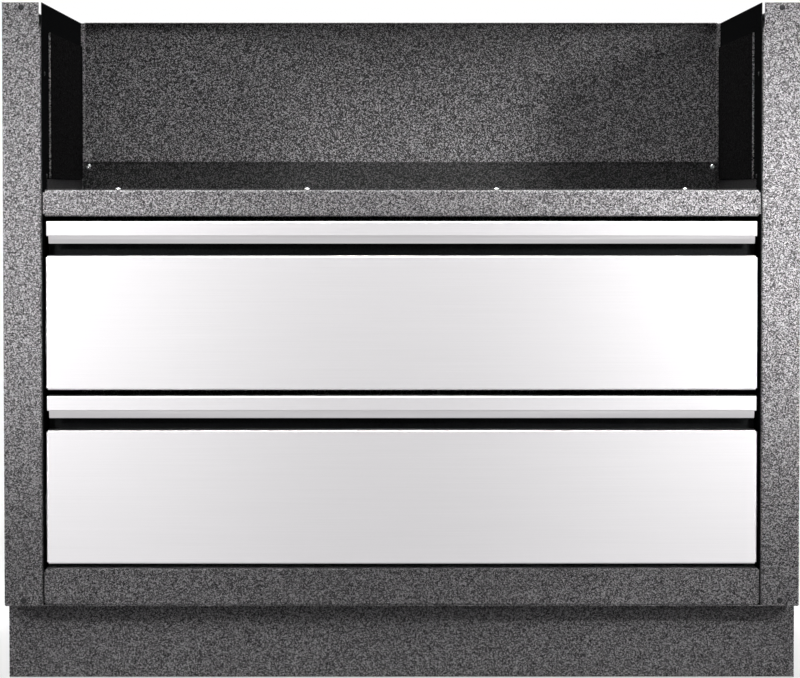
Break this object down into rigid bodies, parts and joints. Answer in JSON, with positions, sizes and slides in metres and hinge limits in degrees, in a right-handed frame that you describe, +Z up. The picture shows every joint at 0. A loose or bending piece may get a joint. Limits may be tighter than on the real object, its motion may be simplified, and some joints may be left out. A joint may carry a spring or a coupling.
{
  "type": "under-grill cabinet",
  "caption": "Free-standing outdoor-kitchen base cabinet with an open bay for a built-in grill over full-width stainless-fronted drawers on telescopic runners.",
  "frame": {"origin": "on the ground, under the middle of the cabinet's overall box", "axes": "+X to the right of someone facing the drawers, +Y from the drawer fronts to the back, +Z up"},
  "size_m": [1.067, 0.609, 0.915],
  "materials": {
    "hammered_coat": "charcoal hammered powder coat",
    "black_coat": "satin black powder coat",
    "brushed_stainless": "stainless steel brushed along its length",
    "zinc_plate": "bright zinc plate",
    "bearing_steel": "plain bearing steel",
    "foot_plastic": "black moulded nylon"
  },
  "bodies": {
    "cabinet": {"left_side_panel": "hammered_coat", "left_inner_panel": "black_coat", "left_shield_plate": "black_coat", "right_side_panel": "hammered_coat", "right_inner_panel": "black_coat", "right_shield_plate": "black_coat", "back_panel": "hammered_coat", "grill_tray": "hammered_coat", "top_rail": "hammered_coat", "base_rail": "hammered_coat", "toe_kick": "hammered_coat", "rear_base_rail": "hammered_coat", "floor_panel": "black_coat", "stile_screws": "black_coat", "tray_screws": "zinc_plate", "foot_brackets": "zinc_plate", "upper_left_cabinet_runner": "zinc_plate", "upper_right_cabinet_runner": "zinc_plate", "lower_left_cabinet_runner": "zinc_plate", "lower_right_cabinet_runner": "zinc_plate"},
    "front_left_foot": {"front_left_foot_stud": "zinc_plate", "front_left_foot_pad": "foot_plastic"},
    "front_right_foot": {"front_right_foot_stud": "zinc_plate", "front_right_foot_pad": "foot_plastic"},
    "rear_left_foot": {"rear_left_foot_stud": "zinc_plate", "rear_left_foot_pad": "foot_plastic"},
    "rear_right_foot": {"rear_right_foot_stud": "zinc_plate", "rear_right_foot_pad": "foot_plastic"},
    "upper_drawer": {"upper_front_panel": "brushed_stainless", "upper_pull_cap": "brushed_stainless", "upper_pull_lip": "brushed_stainless", "upper_inner_front": "black_coat", "upper_drawer_left_side": "black_coat", "upper_drawer_right_side": "black_coat", "upper_drawer_bottom": "black_coat", "upper_drawer_back": "black_coat", "upper_left_drawer_runner": "zinc_plate", "upper_right_drawer_runner": "zinc_plate"},
    "upper_middle_runners": {"upper_left_middle_runner": "zinc_plate", "upper_right_middle_runner": "zinc_plate"},
    "upper_outer_cages": {"upper_outer_ball_cages": "bearing_steel"},
    "upper_inner_cages": {"upper_inner_ball_cages": "bearing_steel"},
    "lower_drawer": {"lower_front_panel": "brushed_stainless", "lower_pull_cap": "brushed_stainless", "lower_pull_lip": "brushed_stainless", "lower_inner_front": "black_coat", "lower_drawer_left_side": "black_coat", "lower_drawer_right_side": "black_coat", "lower_drawer_bottom": "black_coat", "lower_drawer_back": "black_coat", "lower_left_drawer_runner": "zinc_plate", "lower_right_drawer_runner": "zinc_plate"},
    "lower_middle_runners": {"lower_left_middle_runner": "zinc_plate", "lower_right_middle_runner": "zinc_plate"},
    "lower_outer_cages": {"lower_outer_ball_cages": "bearing_steel"},
    "lower_inner_cages": {"lower_inner_ball_cages": "bearing_steel"}
  },
  "joints": [
    {"name": "upper_drawer_slide", "type": "slide", "parent": "cabinet", "child": "upper_drawer", "axis": [0, -1, 0], "range_m": [0, 0.5]},
    {"name": "upper_middle_runners_slide", "type": "slide", "parent": "cabinet", "child": "upper_middle_runners", "axis": [0, -1, 0], "range_m": [0, 0.25]},
    {"name": "upper_outer_cages_slide", "type": "slide", "parent": "cabinet", "child": "upper_outer_cages", "axis": [0, -1, 0], "range_m": [0, 0.125]},
    {"name": "upper_inner_cages_slide", "type": "slide", "parent": "cabinet", "child": "upper_inner_cages", "axis": [0, -1, 0], "range_m": [0, 0.375]},
    {"name": "lower_drawer_slide", "type": "slide", "parent": "cabinet", "child": "lower_drawer", "axis": [0, -1, 0], "range_m": [0, 0.5]},
    {"name": "lower_middle_runners_slide", "type": "slide", "parent": "cabinet", "child": "lower_middle_runners", "axis": [0, -1, 0], "range_m": [0, 0.25]},
    {"name": "lower_outer_cages_slide", "type": "slide", "parent": "cabinet", "child": "lower_outer_cages", "axis": [0, -1, 0], "range_m": [0, 0.125]},
    {"name": "lower_inner_cages_slide", "type": "slide", "parent": "cabinet", "child": "lower_inner_cages", "axis": [0, -1, 0], "range_m": [0, 0.375]},
    {"name": "front_left_foot_screw", "type": "slide", "parent": "cabinet", "child": "front_left_foot", "axis": [0, 0, 1], "range_m": [-0.02, 0.01]},
    {"name": "front_right_foot_screw", "type": "slide", "parent": "cabinet", "child": "front_right_foot", "axis": [0, 0, 1], "range_m": [-0.02, 0.01]},
    {"name": "rear_left_foot_screw", "type": "slide", "parent": "cabinet", "child": "rear_left_foot", "axis": [0, 0, 1], "range_m": [-0.02, 0.01]},
    {"name": "rear_right_foot_screw", "type": "slide", "parent": "cabinet", "child": "rear_right_foot", "axis": [0, 0, 1], "range_m": [-0.02, 0.01]}
  ],
  "couplings": [
    {"joint": "upper_middle_runners_slide", "follows": "upper_drawer_slide", "ratio": 0.5},
    {"joint": "upper_outer_cages_slide", "follows": "upper_drawer_slide", "ratio": 0.25},
    {"joint": "upper_inner_cages_slide", "follows": "upper_drawer_slide", "ratio": 0.75},
    {"joint": "lower_middle_runners_slide", "follows": "lower_drawer_slide", "ratio": 0.5},
    {"joint": "lower_outer_cages_slide", "follows": "lower_drawer_slide", "ratio": 0.25},
    {"joint": "lower_inner_cages_slide", "follows": "lower_drawer_slide", "ratio": 0.75}
  ]
}
